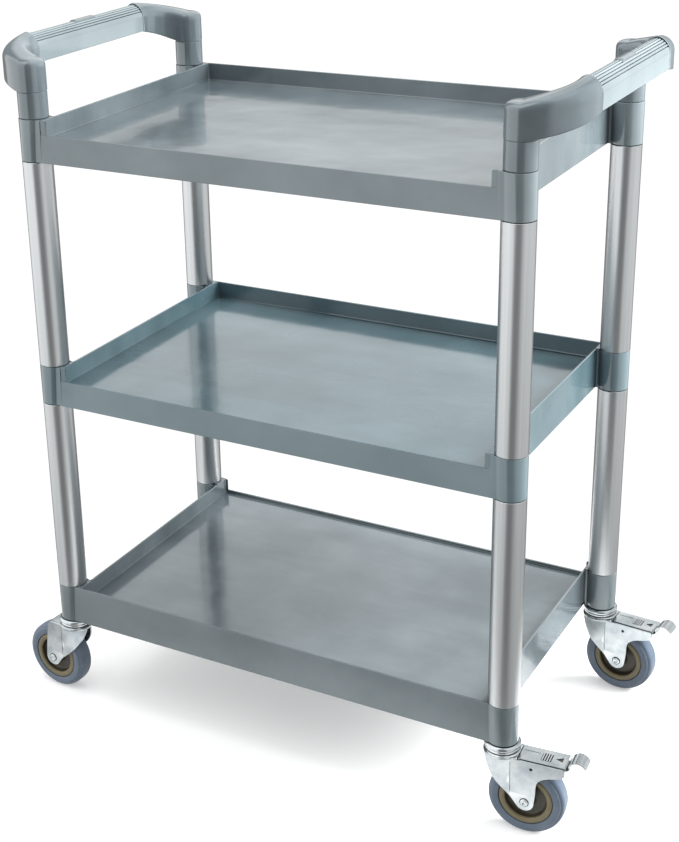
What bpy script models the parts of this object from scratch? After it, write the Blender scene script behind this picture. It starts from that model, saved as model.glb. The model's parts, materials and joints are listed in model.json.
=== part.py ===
"""Food service trolley: three moulded trays on eight aluminium posts, two push handles and four swivel casters.

Metres, +Z up. The origin is on the floor under the middle of the trays. X runs along the long side, Y from the
front, which is the open side of the top and middle trays, to the back.
"""

import math

import bmesh
import bpy
from mathutils import Matrix, Vector

# --- Driving dimensions ---------------------------------------------------------------------------------------

GAP = 0.0003  # between pieces that touch

POST_X = 0.328  # post axes from the middle, along the trolley
POST_Y = 0.185  # post axes from the middle, across it
POST_RADIUS = 0.020
POST_WALL = 0.0015
POST_LENGTH = 0.2805

TRAY_HEIGHT = 0.0555
TRAY_WALL = 0.0028
TRAY_HALF_LENGTH = POST_X - POST_RADIUS
TRAY_HALF_WIDTH = POST_Y + 0.017
FLOOR_TOP = 0.031
FLOOR_THICKNESS = 0.003
LIP_TOP = 0.0362
RIB_BOTTOM = 0.022
RIB_THICKNESS = 0.0024
RIB_CELLS_X = 4
RIB_CELLS_Y = 3
SPIGOT_RADIUS = POST_RADIUS - POST_WALL - GAP
SPIGOT_LENGTH = 0.025
SPIGOT_BORE = 0.015
STEM_SEAT = 0.012  # thickness of the bottom tray's collar floor, which the caster stem goes through

CASTER_HEIGHT = 0.1235
WHEEL_RADIUS = 0.0495
TYRE_HALF_WIDTH = 0.0135
TYRE_SHOULDER = 0.005
RIM_RADIUS = 0.035
TRAIL = 0.035
AXLE_Z = WHEEL_RADIUS - CASTER_HEIGHT  # below the tray's underside

HANDLE_REACH = 0.050  # grip's axis beyond the post axes
GRIP_HALF_LENGTH = 0.121
GRIP_HALF_WIDTH = 0.0165
GRIP_BOTTOM = 0.055
GRIP_SPRING = 0.0745  # height above the top tray at which the grip's flat sides end
GRIP_CROWN = 0.017  # rise of its rounded top
GRIP_CROWN_POWER = 1.65
GRIP_WALL = 0.0035
TENON_LENGTH = 0.025
ELBOW_TOP = 0.0755
ELBOW_UNDERSIDE = 0.0328
ELBOW_LIP = 0.0026  # step up from the grip's crown to the elbow's end
SOCKET_DEPTH = 0.0265

STEM_RADIUS = 0.0062
CAP_RADIUS = 0.0235
CAP_BOTTOM = -0.0056
RACE_RADIUS = 0.0225
RACE_TOP = -0.0066
CROWN_TOP = -0.013
CROWN_BOTTOM = -0.0158
LEG_OUTER = 0.018
LEG_THICKNESS = 0.0025
LEG_TOP = -0.0144
FOLD_X = 0.0165  # ahead of this the legs turn inwards
FOLD_LOW = -0.069
LEG_BOSS = 0.0125
AXLE_RADIUS = 0.004
BUSH_RADIUS = 0.006
LEVER_PIVOT = (0.042, -0.0235)
LEVER_HALF_WIDTH = 0.012
LUG_OUTER = LEG_OUTER - LEG_THICKNESS - GAP
BOSS_RADIUS = 0.002

ROUND = 20  # facets of a post-sized circle
SMALL_ROUND = 12
TYRE_ROUND = 30

# The way each caster points: its wheel trails towards this angle from +X. The two at the +X end have brakes.
CORNERS = {
    "front_left": (-1, -1, math.radians(176)),
    "front_right": (1, -1, math.radians(5)),
    "back_right": (1, 1, math.radians(-4)),
    "back_left": (-1, 1, math.radians(172)),
}
BRAKED = ("front_right", "back_right")

COLOURS = {
    "grey_plastic": ((0.33, 0.40, 0.43), 0.3, 0.0),
    "aluminium": ((0.72, 0.72, 0.74), 0.35, 1.0),
    "zinc": ((0.70, 0.73, 0.74), 0.25, 1.0),
    "tyre_rubber": ((0.24, 0.28, 0.34), 0.6, 0.0),
    "wheel_centre": ((0.30, 0.24, 0.14), 0.5, 0.0),
}


# --- Building blocks ------------------------------------------------------------------------------------------


def material(name):
    """The named finish, made once."""
    if name in bpy.data.materials:
        return bpy.data.materials[name]
    colour, roughness, metallic = COLOURS[name]
    made = bpy.data.materials.new(name)
    made.use_nodes = True
    shader = made.node_tree.nodes["Principled BSDF"]
    shader.inputs["Base Color"].default_value = (*colour, 1.0)
    shader.inputs["Roughness"].default_value = roughness
    shader.inputs["Metallic"].default_value = metallic
    return made


def make_object(name, bm, finish, parent=None, location=(0, 0, 0), yaw=0.0):
    """An object from a bmesh, with its normals out and its round faces smooth."""
    bmesh.ops.recalc_face_normals(bm, faces=bm.faces)
    mesh = bpy.data.meshes.new(name)
    bm.to_mesh(mesh)
    bm.free()
    mesh.shade_smooth()
    mesh.set_sharp_from_angle(angle=math.radians(35))
    obj = bpy.data.objects.new(name, mesh)
    obj.data.materials.append(material(finish))
    obj.location = location
    obj.rotation_euler = (0, 0, yaw)
    obj.parent = parent
    bpy.context.scene.collection.objects.link(obj)
    return obj


def make_empty(name, location, yaw=0.0, parent=None):
    obj = bpy.data.objects.new(name, None)
    obj.location = location
    obj.rotation_euler = (0, 0, yaw)
    obj.parent = parent
    bpy.context.scene.collection.objects.link(obj)
    return obj


def add_box(bm, low, high):
    """A box between two corners."""
    low, high = Vector(low), Vector(high)
    place = Matrix.Translation((low + high) / 2) @ Matrix.Diagonal((*(high - low), 1))
    bmesh.ops.create_cube(bm, size=1, matrix=place)


def add_prism(bm, outline, offset):
    """The closed outline, a list of 3-D points in one plane, extruded along offset."""
    face = bm.faces.new([bm.verts.new(point) for point in outline])
    made = bmesh.ops.extrude_face_region(bm, geom=[face])["geom"]
    moved = [item for item in made if isinstance(item, bmesh.types.BMVert)]
    bmesh.ops.translate(bm, verts=moved, vec=offset)


def add_turned(bm, profile, steps, axis="Z", closed=True):
    """A profile of (radius, height) points turned about an axis. An open profile starts and ends on the axis."""
    rings = []
    for radius, height in profile:
        count = 1 if radius == 0 else steps
        ring = []
        for step in range(count):
            angle = math.tau * step / steps
            x, y = radius * math.cos(angle), radius * math.sin(angle)
            ring.append(bm.verts.new((x, y, height) if axis == "Z" else (x, height, y)))
        rings.append(ring)
    followers = rings[1:] + rings[:1] if closed else rings[1:]
    for ring, following in zip(rings, followers):
        for step in range(steps):
            corners = []
            for loop, index in ((ring, step), (ring, step + 1), (following, step + 1), (following, step)):
                vertex = loop[index % len(loop)]
                if vertex not in corners:
                    corners.append(vertex)
            bm.faces.new(corners)


def add_loft(bm, sections):
    """A closed solid through sections that all have the same number of points."""
    loops = [[bm.verts.new(point) for point in section] for section in sections]
    count = len(loops[0])
    for near, far in zip(loops, loops[1:]):
        for index in range(count):
            after = (index + 1) % count
            bm.faces.new((near[index], near[after], far[after], far[index]))
    bm.faces.new(loops[0])
    bm.faces.new(loops[-1])


def combine(target, bm, operation):
    """Joins the bmesh to the target, or cuts it out of it, and keeps only the result."""
    tool = make_object(target.name + "_tool", bm, "zinc", target.parent, target.location)
    modifier = target.modifiers.new(operation, "BOOLEAN")
    modifier.operation = operation
    modifier.solver = "EXACT"
    modifier.object = tool
    evaluated = target.evaluated_get(bpy.context.evaluated_depsgraph_get())
    mesh = bpy.data.meshes.new_from_object(evaluated)
    target.modifiers.clear()
    target.data = mesh
    mesh.name = target.name
    bpy.data.objects.remove(tool)


def join(target, bm):
    combine(target, bm, "UNION")


def cut(target, bm):
    combine(target, bm, "DIFFERENCE")


def boxes(*corners):
    """A bmesh of boxes, each given as its lowest and highest corner."""
    bm = bmesh.new()
    for low, high in corners:
        add_box(bm, low, high)
    return bm


def rod(radius, start, end, steps, axis="Z"):
    """A bmesh of one solid round bar along an axis."""
    bm = bmesh.new()
    add_turned(bm, [(0, start), (radius, start), (radius, end), (0, end)], steps, axis, closed=False)
    return bm


# --- Trays ----------------------------------------------------------------------------------------------------


def tray_shell(name, base_z, lip_side):
    """The tray's floor and walls. lip_side is -1 or +1: the long side that has only a low lip."""
    length, width = TRAY_HALF_LENGTH, TRAY_HALF_WIDTH
    inner_length, inner_width = length - TRAY_WALL, width - TRAY_WALL
    bm = boxes(((-length, -width, GAP), (length, width, TRAY_HEIGHT - GAP)))
    tray = make_object(name, bm, "grey_plastic", location=(0, 0, base_z))
    cut(tray, boxes(((-inner_length, -inner_width, FLOOR_TOP), (inner_length, inner_width, 2 * TRAY_HEIGHT))))
    cut(tray, boxes(((-inner_length, -inner_width, -TRAY_HEIGHT), (inner_length, inner_width, RIB_BOTTOM))))
    cut(tray, rib_cells(inner_length, inner_width))
    lip_edges = sorted((lip_side * (inner_width - 0.01), lip_side * (width + 0.01)))
    cut(tray, boxes(((-inner_length, lip_edges[0], LIP_TOP), (inner_length, lip_edges[1], 2 * TRAY_HEIGHT))))
    return tray


def rib_cells(inner_length, inner_width):
    """The spaces between the ribs that stiffen the floor from below."""
    bm = bmesh.new()
    pitch_x = 2 * inner_length / RIB_CELLS_X
    pitch_y = 2 * inner_width / RIB_CELLS_Y
    top = FLOOR_TOP - FLOOR_THICKNESS
    for column in range(RIB_CELLS_X):
        for row in range(RIB_CELLS_Y):
            x = -inner_length + (column + 0.5) * pitch_x
            y = -inner_width + (row + 0.5) * pitch_y
            half_x = (pitch_x - RIB_THICKNESS) / 2
            half_y = (pitch_y - RIB_THICKNESS) / 2
            add_box(bm, (x - half_x, y - half_y, RIB_BOTTOM - 0.005), (x + half_x, y + half_y, top))
    return bm


def corner_web(side_x, side_y):
    """The web that ties a collar to the end wall and the long wall, drawn about the post's axis."""
    outline = [
        (-0.0221, -0.0168),
        (-0.0090, -0.0168),
        (-0.0090, -0.0144),
        (-0.0125, -0.0144),
        (-0.0165, -0.0050),
        (-0.0165, 0.0060),
        (-0.0128, 0.0138),
        (-0.0150, 0.0150),
        (-0.0185, 0.0180),
        (-0.0221, 0.0230),
    ]
    bm = bmesh.new()
    low = 2 * GAP
    points = [(side_x * (POST_X + x), -side_y * (y - POST_Y), low) for x, y in outline]
    add_prism(bm, points, (0, 0, TRAY_HEIGHT - 4 * GAP))
    return bm


def collar(side_x, side_y, takes_caster):
    """A round collar with a spigot for the post above, and one for the post below or a seat for a caster."""
    top = TRAY_HEIGHT
    upper = [
        (POST_RADIUS, top),
        (SPIGOT_RADIUS, top),
        (SPIGOT_RADIUS, top + SPIGOT_LENGTH),
        (SPIGOT_BORE, top + SPIGOT_LENGTH),
    ]
    if takes_caster:
        lower = [
            (SPIGOT_BORE, STEM_SEAT),
            (STEM_RADIUS + GAP, STEM_SEAT),
            (STEM_RADIUS + GAP, 0),
            (POST_RADIUS, 0),
        ]
    else:
        lower = [
            (SPIGOT_BORE, -SPIGOT_LENGTH),
            (SPIGOT_RADIUS, -SPIGOT_LENGTH),
            (SPIGOT_RADIUS, 0),
            (POST_RADIUS, 0),
        ]
    bm = bmesh.new()
    add_turned(bm, lower + upper, ROUND)
    bmesh.ops.translate(bm, verts=bm.verts, vec=(side_x * POST_X, side_y * POST_Y, 0))
    return bm


def make_tray(name, level, lip_side):
    tray = tray_shell(name, tray_base(level), lip_side)
    for side_x, side_y, _ in CORNERS.values():
        join(tray, corner_web(side_x, side_y))
        join(tray, collar(side_x, side_y, takes_caster=level == 0))
    return tray


def tray_base(level):
    return CASTER_HEIGHT + level * (TRAY_HEIGHT + POST_LENGTH)


# --- Posts ----------------------------------------------------------------------------------------------------


def make_post(name, side_x, side_y, level):
    """A tube between the tray at this level and the one above."""
    inner = POST_RADIUS - POST_WALL
    bm = bmesh.new()
    height = POST_LENGTH - 2 * GAP
    add_turned(bm, [(inner, 0), (POST_RADIUS, 0), (POST_RADIUS, height), (inner, height)], ROUND)
    foot = tray_base(level) + TRAY_HEIGHT + GAP
    return make_object(name, bm, "aluminium", location=(side_x * POST_X, side_y * POST_Y, foot))


# --- Handles --------------------------------------------------------------------------------------------------


def blend(start, end, share):
    """A smooth step from start to end."""
    eased = share * share * (3 - 2 * share)
    return start + (end - start) * eased


def crown_outline(half_width, bottom, spring, rise, power, count):
    """(across, up) points of a section with a flat bottom and sides under a rounded crown."""
    points = [(-half_width, bottom), (half_width, bottom)]
    for step in range(count + 1):
        angle = math.pi * step / count
        across = math.copysign(abs(math.cos(angle)) ** (2 / power), math.cos(angle))
        up = math.sin(angle) ** (2 / power) if 0 < step < count else 0.0
        points.append((half_width * across, spring + rise * up))
    return points


def bore_outline(inset):
    """(across, up) points of the grip's hollow, or, inset all round, of the tenon that fits it."""
    inner = GRIP_WALL + inset
    return crown_outline(
        half_width=GRIP_HALF_WIDTH - inner,
        bottom=GRIP_BOTTOM + inner,
        spring=GRIP_SPRING,
        rise=GRIP_CROWN - inner,
        power=2.2,
        count=6,
    )


def elbow_path(share):
    """Where the elbow's arm is, and which way it heads, from the post (0) to the grip (1), about the post axis."""
    corners = [
        Vector((-0.002, 0)),
        Vector((0.44 * HANDLE_REACH, 0.12 * HANDLE_REACH)),
        Vector((HANDLE_REACH, 0.36 * HANDLE_REACH)),
        Vector((HANDLE_REACH, POST_Y - GRIP_HALF_LENGTH - GAP)),
    ]
    rest = 1 - share
    weights = (rest**3, 3 * rest**2 * share, 3 * rest * share**2, share**3)
    place = sum((w * c for w, c in zip(weights, corners)), Vector((0, 0)))
    heading = (
        rest**2 * (corners[1] - corners[0])
        + 2 * rest * share * (corners[2] - corners[1])
        + share**2 * (corners[3] - corners[2])
    )
    return place, heading.normalized()


def elbow_sections(count):
    """Cross-sections of the arm: broad and low at the post, and the shape of the grip where they meet."""
    sections = []
    for step in range(count + 1):
        share = step / count
        place, heading = elbow_path(share)
        across = Vector((heading.y, -heading.x))
        outline = crown_outline(
            half_width=blend(0.0194, GRIP_HALF_WIDTH + 0.0012, share),
            bottom=ELBOW_UNDERSIDE + (GRIP_BOTTOM - 0.0008 - ELBOW_UNDERSIDE) * share**1.2,
            spring=blend(0.066, GRIP_SPRING, share),
            rise=blend(ELBOW_TOP - 0.0003 - 0.066, GRIP_CROWN + ELBOW_LIP, share),
            power=blend(2.6, GRIP_CROWN_POWER, share),
            count=10,
        )
        sections.append([(*(place + across * side), up) for side, up in outline])
    return sections


def make_elbow(name, side_x, side_y):
    """A socket that goes over the tray's spigot, and an arm that reaches out, rises and turns to the grip."""
    rounding, steps = 0.007, 3
    profile = [
        (0, SOCKET_DEPTH),
        (POST_RADIUS - POST_WALL, SOCKET_DEPTH),
        (POST_RADIUS - POST_WALL, GAP),
        (POST_RADIUS, GAP),
    ]
    for step in range(steps + 1):
        angle = math.pi / 2 * step / steps
        out = POST_RADIUS - rounding + rounding * math.cos(angle)
        profile.append((out, ELBOW_TOP - rounding + rounding * math.sin(angle)))
    profile.append((0, ELBOW_TOP))
    bm = bmesh.new()
    add_turned(bm, profile, ROUND, closed=False)
    foot = tray_base(2) + TRAY_HEIGHT
    elbow = make_object(name, bm, "grey_plastic", location=(side_x * POST_X, side_y * POST_Y, foot))

    arm = bmesh.new()
    add_loft(arm, elbow_sections(8))
    flip = Matrix.Diagonal((side_x, -side_y, 1, 1))
    bmesh.ops.transform(arm, matrix=flip, verts=arm.verts)
    join(elbow, arm)

    tenon = bmesh.new()
    start = POST_Y - GRIP_HALF_LENGTH - 0.004
    outline = bore_outline(2 * GAP)
    add_prism(tenon, [(HANDLE_REACH + across, start, up) for across, up in outline], (0, 0.004 + TENON_LENGTH, 0))
    bmesh.ops.transform(tenon, matrix=flip, verts=tenon.verts)
    join(elbow, tenon)
    return elbow


def ribbed_outline():
    """(across, up) points of the grip: a crowned bar with narrow ribs along its top."""
    smooth = crown_outline(GRIP_HALF_WIDTH, GRIP_BOTTOM, GRIP_SPRING, GRIP_CROWN, GRIP_CROWN_POWER, 20)
    points = smooth[:3]
    for index, (across, up) in enumerate(smooth[3:-1], start=3):
        depth = 0.0007 if index % 2 == 0 and 4 <= index <= 20 else 0.0
        scale = 1 - depth / GRIP_CROWN
        points.append((across * scale, GRIP_SPRING + (up - GRIP_SPRING) * scale))
    return points + smooth[-1:]


def make_grip(name, side_x):
    """The hollow bar between the two elbows of one handle, with a smooth pad in the middle of its ribs."""
    bm = bmesh.new()
    outer = [(across, -GRIP_HALF_LENGTH, up) for across, up in ribbed_outline()]
    add_prism(bm, outer, (0, 2 * GRIP_HALF_LENGTH, 0))
    foot = tray_base(2) + TRAY_HEIGHT
    grip = make_object(name, bm, "grey_plastic", location=(side_x * (POST_X + HANDLE_REACH), 0, foot))

    pad = bmesh.new()
    pad_half = 0.022
    smooth = crown_outline(GRIP_HALF_WIDTH - 0.0022, GRIP_SPRING - 0.004, GRIP_SPRING, GRIP_CROWN + 0.0008, 1.8, 10)
    add_prism(pad, [(across, -pad_half, up) for across, up in smooth], (0, 2 * pad_half, 0))
    join(grip, pad)

    hollow = bmesh.new()
    add_prism(hollow, [(across, -0.2, up) for across, up in bore_outline(0)], (0, 0.4, 0))
    cut(grip, hollow)
    return grip


# --- Casters --------------------------------------------------------------------------------------------------
# Each is drawn about its swivel axis, with z = 0 at the tray's underside and the wheel trailing towards +X.


def make_stem(name, parent):
    """Fixed half of the swivel: a threaded stem, a domed cap and the king pin that holds the yoke up."""
    bm = bmesh.new()
    profile = [
        (0, -0.0186),
        (0.0065, -0.0186),
        (0.0082, -0.0172),
        (0.0082, -0.0162),
        (0.0052, -0.0162),
        (0.0052, CAP_BOTTOM),
        (CAP_RADIUS, CAP_BOTTOM),
        (CAP_RADIUS, -0.0028),
        (CAP_RADIUS - 0.0022, -GAP),
        (STEM_RADIUS, -GAP),
        (STEM_RADIUS, 0.029),
        (0, 0.029),
    ]
    add_turned(bm, profile, ROUND, closed=False)
    return make_object(name, bm, "zinc", parent)


def make_stem_nut(name, parent):
    """Hexagon nut on the stem, inside the tray's collar."""
    height, across_corners = 0.008, 0.0109
    bm = bmesh.new()
    base = STEM_SEAT + GAP
    outline = []
    for step in range(6):
        angle = math.tau * step / 6
        outline.append((across_corners * math.cos(angle), across_corners * math.sin(angle), base))
    add_prism(bm, outline, (0, 0, height))
    nut = make_object(name, bm, "zinc", parent)
    cut(nut, rod(STEM_RADIUS + GAP, base - height, base + 2 * height, SMALL_ROUND))
    return nut


def make_race(name, parent):
    """Turning half of the ball race: a beaded ring on top of the yoke."""
    bm = bmesh.new()
    inner, floor = 0.014, CROWN_TOP + GAP
    profile = [
        (inner, floor),
        (RACE_RADIUS - 0.001, floor),
        (RACE_RADIUS, floor + 0.0020),
        (RACE_RADIUS - 0.0010, RACE_TOP),
        (inner, RACE_TOP),
    ]
    add_turned(bm, profile, ROUND)
    return make_object(name, bm, "zinc", parent)


def leg_front():
    """(along, up, inwards) points of the leg's leading part, which is bent in to wrap the crown."""
    return [
        (-0.0005, -0.0570, 0.0006),
        (-0.0080, -0.0490, 0.0009),
        (-0.0160, -0.0340, 0.0065),
        (-0.0205, -0.0260, 0.0100),
        (-0.0225, LEG_TOP, 0.0120),
    ]


def leg_back(braked):
    """(along, up) points of the flat part of the leg, from the bend line round the axle boss and up behind it."""
    boss = []
    steps = 8
    for step in range(steps + 1):
        angle = math.radians(215 + 150 * step / steps)
        boss.append((TRAIL + LEG_BOSS * math.cos(angle), AXLE_Z + LEG_BOSS * math.sin(angle)))
    if not braked:
        return [*boss, (0.0400, -0.0200), (0.0385, LEG_TOP)]
    tail = [(0.0485, -0.0500), (0.0505, -0.0410), (0.0560, -0.0350), (0.0630, -0.0320), (0.0795, -0.0270)]
    return [*boss, *tail, (0.0840, -0.0200), (0.0830, LEG_TOP)]


def leg_sheet(braked):
    """One leg on the -Y side: a sheet with its leading part bent inwards, given its thickness."""
    bm = bmesh.new()
    high = bm.verts.new((FOLD_X, -LEG_OUTER, LEG_TOP))
    low = bm.verts.new((FOLD_X, -LEG_OUTER, FOLD_LOW))
    back = [bm.verts.new((x, -LEG_OUTER, z)) for x, z in leg_back(braked)]
    front = [bm.verts.new((x, inwards - LEG_OUTER, z)) for x, z, inwards in leg_front()]
    bm.faces.new((low, *back, high))
    edge = [low, *front]
    for near, far in zip(edge, edge[1:]):
        bm.faces.new((high, far, near))
    bm.normal_update()
    bmesh.ops.solidify(bm, geom=bm.faces[:], thickness=LEG_THICKNESS)
    return bm


def make_yoke(name, parent, braked):
    """The stamped fork: a round crown under the race, and two legs that straddle the wheel."""
    crown_radius, half_width, back = 0.024, 0.0176, 0.024 if braked else 0.038
    start = math.asin(half_width / crown_radius)
    outline = []
    steps = 12
    for step in range(steps + 1):
        angle = start + (math.tau - 2 * start) * step / steps
        outline.append((crown_radius * math.cos(angle), crown_radius * math.sin(angle), CROWN_BOTTOM))
    outline += [(back, -half_width, CROWN_BOTTOM), (back, half_width, CROWN_BOTTOM)]
    bm = bmesh.new()
    add_prism(bm, outline, (0, 0, CROWN_TOP - CROWN_BOTTOM))
    yoke = make_object(name, bm, "zinc", parent)
    for side in (1, -1):
        leg = leg_sheet(braked)
        bmesh.ops.transform(leg, matrix=Matrix.Diagonal((1, side, 1, 1)), verts=leg.verts)
        join(yoke, leg)
    cut(yoke, rod(0.0056, -0.03, 0, SMALL_ROUND))
    axle_hole = rod(AXLE_RADIUS + GAP, -0.03, 0.03, SMALL_ROUND, axis="Y")
    bmesh.ops.translate(axle_hole, verts=axle_hole.verts, vec=(TRAIL, 0, AXLE_Z))
    cut(yoke, axle_hole)
    if braked:
        pivot_hole = rod(BOSS_RADIUS + GAP, -0.03, 0.03, 12, axis="Y")
        bmesh.ops.translate(pivot_hole, verts=pivot_hole.verts, vec=(LEVER_PIVOT[0], 0, LEVER_PIVOT[1]))
        cut(yoke, pivot_hole)
    return yoke


def make_axle(name, parent):
    """Riveted axle with a round head outside each leg."""
    bm = bmesh.new()
    head, height = 0.006, 0.0016
    face = LEG_OUTER + GAP
    half = [(head, face), (head, face + height / 2), (head * 0.75, face + height), (0, face + height)]
    profile = [(radius, -across) for radius, across in reversed(half)]
    profile += [(AXLE_RADIUS, -face), (AXLE_RADIUS, face)]
    profile += half
    add_turned(bm, profile, SMALL_ROUND, axis="Y", closed=False)
    return make_object(name, bm, "zinc", parent)


def make_bush(name, parent):
    """Spacer tube that the legs clamp and the wheel turns on."""
    bm = bmesh.new()
    half = LEG_OUTER - LEG_THICKNESS - GAP
    bore = AXLE_RADIUS + GAP
    add_turned(bm, [(bore, -half), (BUSH_RADIUS, -half), (BUSH_RADIUS, half), (bore, half)], SMALL_ROUND, axis="Y")
    return make_object(name, bm, "zinc", parent)


def make_wheel_centre(name, parent):
    """Moulded wheel centre: rim, recessed web and hub barrel."""
    bore, barrel, rim_inner, rim_half = BUSH_RADIUS + GAP, 0.0105, 0.0295, 0.0125
    half = [
        (bore, 0.0145),
        (barrel, 0.0145),
        (barrel + 0.001, 0.0045),
        (rim_inner - 0.002, 0.0045),
        (rim_inner, rim_half),
        (RIM_RADIUS, rim_half),
    ]
    profile = half + [(radius, -across) for radius, across in reversed(half)]
    bm = bmesh.new()
    add_turned(bm, profile, ROUND, axis="Y")
    return make_object(name, bm, "wheel_centre", parent)


def make_tyre(name, parent):
    """Soft grey tyre with round shoulders."""
    seat = RIM_RADIUS + GAP
    near, far = TYRE_HALF_WIDTH, TYRE_HALF_WIDTH - TYRE_SHOULDER
    middle = TYRE_HALF_WIDTH - 0.3 * TYRE_SHOULDER
    half = [
        (seat, near),
        (WHEEL_RADIUS - TYRE_SHOULDER, near),
        (WHEEL_RADIUS - 0.3 * TYRE_SHOULDER, middle),
        (WHEEL_RADIUS, far),
    ]
    profile = half + [(radius, -across) for radius, across in reversed(half)]
    bm = bmesh.new()
    add_turned(bm, profile, TYRE_ROUND, axis="Y")
    turn = Matrix.Rotation(math.pi / TYRE_ROUND, 4, "Y")
    bmesh.ops.transform(bm, matrix=turn, verts=bm.verts)
    return make_object(name, bm, "tyre_rubber", parent)


def make_brake_cover(name, parent):
    """Plate between the legs of a braked yoke, with its end turned down."""
    start, end, top, thickness = 0.0243, 0.0835, -0.0130, 0.0014
    outline = [
        (start, top),
        (end - 0.001, top),
        (end, top - 0.001),
        (end, top - 0.0040),
        (end - thickness, top - 0.0040),
        (end - thickness, top - thickness),
        (start, top - thickness),
    ]
    half = LEG_OUTER - LEG_THICKNESS - GAP
    bm = bmesh.new()
    add_prism(bm, [(x, -half, z) for x, z in outline], (0, 2 * half, 0))
    return make_object(name, bm, "zinc", parent)


def lever_centreline():
    """(along, up) points of the brake lever's plate, from its root to the tip of its pedal."""
    points = [(0.0380, -0.0187), (0.0840, -0.0187), (0.0868, -0.0178), (0.0878, -0.0148)]
    arch_centre, arch_radius = (0.0975, -0.0160), 0.0115
    steps = 6
    for step in range(steps + 1):
        angle = math.radians(150 - 120 * step / steps)
        x = arch_centre[0] + arch_radius * math.cos(angle)
        points.append((x, arch_centre[1] + arch_radius * math.sin(angle)))
    return points


def make_brake_lever(name, parent):
    """Foot lever: a plate under the cover, a curved pedal past its end, and two lugs that pivot in the legs."""
    path = [Vector(point) for point in lever_centreline()]
    half_thickness = 0.0009
    upper, lower = [], []
    for index, point in enumerate(path):
        before, after = path[max(index - 1, 0)], path[min(index + 1, len(path) - 1)]
        heading = (after - before).normalized()
        normal = Vector((-heading.y, heading.x)) * half_thickness
        upper.append(point + normal)
        lower.append(point - normal)
    bm = bmesh.new()
    outline = [(p.x, -LEVER_HALF_WIDTH, p.y) for p in upper + lower[::-1]]
    add_prism(bm, outline, (0, 2 * LEVER_HALF_WIDTH, 0))
    pivot_x, pivot_z = LEVER_PIVOT
    to_pivot = (-pivot_x, 0, -pivot_z)
    bmesh.ops.translate(bm, verts=bm.verts, vec=to_pivot)
    lever = make_object(name, bm, "zinc", parent)

    thickness = 0.0012
    for side in (1, -1):
        wing = boxes(((0.0384, LEVER_HALF_WIDTH - 0.001, -0.0194), (0.050, LUG_OUTER, -0.0180)))
        add_lug = bmesh.new()
        lug = [(0.0384, -0.0190), (0.0384, -0.0245), (0.0400, -0.0265), (0.0440, -0.0265), (0.0500, -0.0190)]
        add_prism(add_lug, [(x, LUG_OUTER - thickness, z) for x, z in lug], (0, thickness, 0))
        boss = rod(BOSS_RADIUS, LUG_OUTER - thickness / 2, LEG_OUTER - 0.0006, 12, axis="Y")
        bmesh.ops.translate(boss, verts=boss.verts, vec=(pivot_x, 0, pivot_z))
        for piece in (wing, add_lug, boss):
            bmesh.ops.translate(piece, verts=piece.verts, vec=to_pivot)
            bmesh.ops.transform(piece, matrix=Matrix.Diagonal((1, side, 1, 1)), verts=piece.verts)
            join(lever, piece)
    return lever


def make_brake_shoe(name, parent):
    """Block under the lever that is pressed onto the tyre."""
    outline = [(0.0565, -0.0199), (0.0700, -0.0199), (0.0700, -0.0320), (0.0655, -0.0310), (0.0585, -0.0264)]
    half = 0.009
    bm = bmesh.new()
    pivot_x, pivot_z = LEVER_PIVOT
    add_prism(bm, [(x - pivot_x, -half, z - pivot_z) for x, z in outline], (0, 2 * half, 0))
    return make_object(name, bm, "zinc", parent)


def make_caster(corner, side_x, side_y, yaw):
    """One swivel caster. The empties stand on the swivel axis, on the wheel's axis and on the lever's pivot."""
    place = (side_x * POST_X, side_y * POST_Y, CASTER_HEIGHT)
    fixed = make_empty("caster_mount_" + corner, place)
    make_stem("caster_stem_" + corner, fixed)
    make_stem_nut("stem_nut_" + corner, fixed)
    swivel = make_empty("caster_swivel_" + corner, place, yaw)
    make_race("swivel_race_" + corner, swivel)
    make_yoke("caster_yoke_" + corner, swivel, corner in BRAKED)
    hub = make_empty("wheel_axis_" + corner, (TRAIL, 0, AXLE_Z), parent=swivel)
    make_axle("axle_rivet_" + corner, hub)
    make_bush("axle_bush_" + corner, hub)
    make_wheel_centre("wheel_centre_" + corner, hub)
    make_tyre("tyre_" + corner, hub)
    if corner in BRAKED:
        make_brake_cover("brake_cover_" + corner, swivel)
        pivot = make_empty("brake_pivot_" + corner, (LEVER_PIVOT[0], 0, LEVER_PIVOT[1]), parent=swivel)
        make_brake_lever("brake_lever_" + corner, pivot)
        make_brake_shoe("brake_shoe_" + corner, pivot)


# --- The trolley ----------------------------------------------------------------------------------------------


def main():
    for obj in list(bpy.data.objects):
        bpy.data.objects.remove(obj)
    make_tray("bottom_tray", 0, lip_side=1)
    make_tray("middle_tray", 1, lip_side=-1)
    make_tray("top_tray", 2, lip_side=-1)
    for corner, (side_x, side_y, yaw) in CORNERS.items():
        make_post("lower_post_" + corner, side_x, side_y, 0)
        make_post("upper_post_" + corner, side_x, side_y, 1)
        make_elbow("handle_elbow_" + corner, side_x, side_y)
        make_caster(corner, side_x, side_y, yaw)
    make_grip("handle_grip_left", -1)
    make_grip("handle_grip_right", 1)


main()
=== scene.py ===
"""Looks of the food service trolley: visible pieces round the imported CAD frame, materials and a studio."""

import json
import math

import bmesh
import bpy
from mathutils import Matrix, Vector


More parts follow.
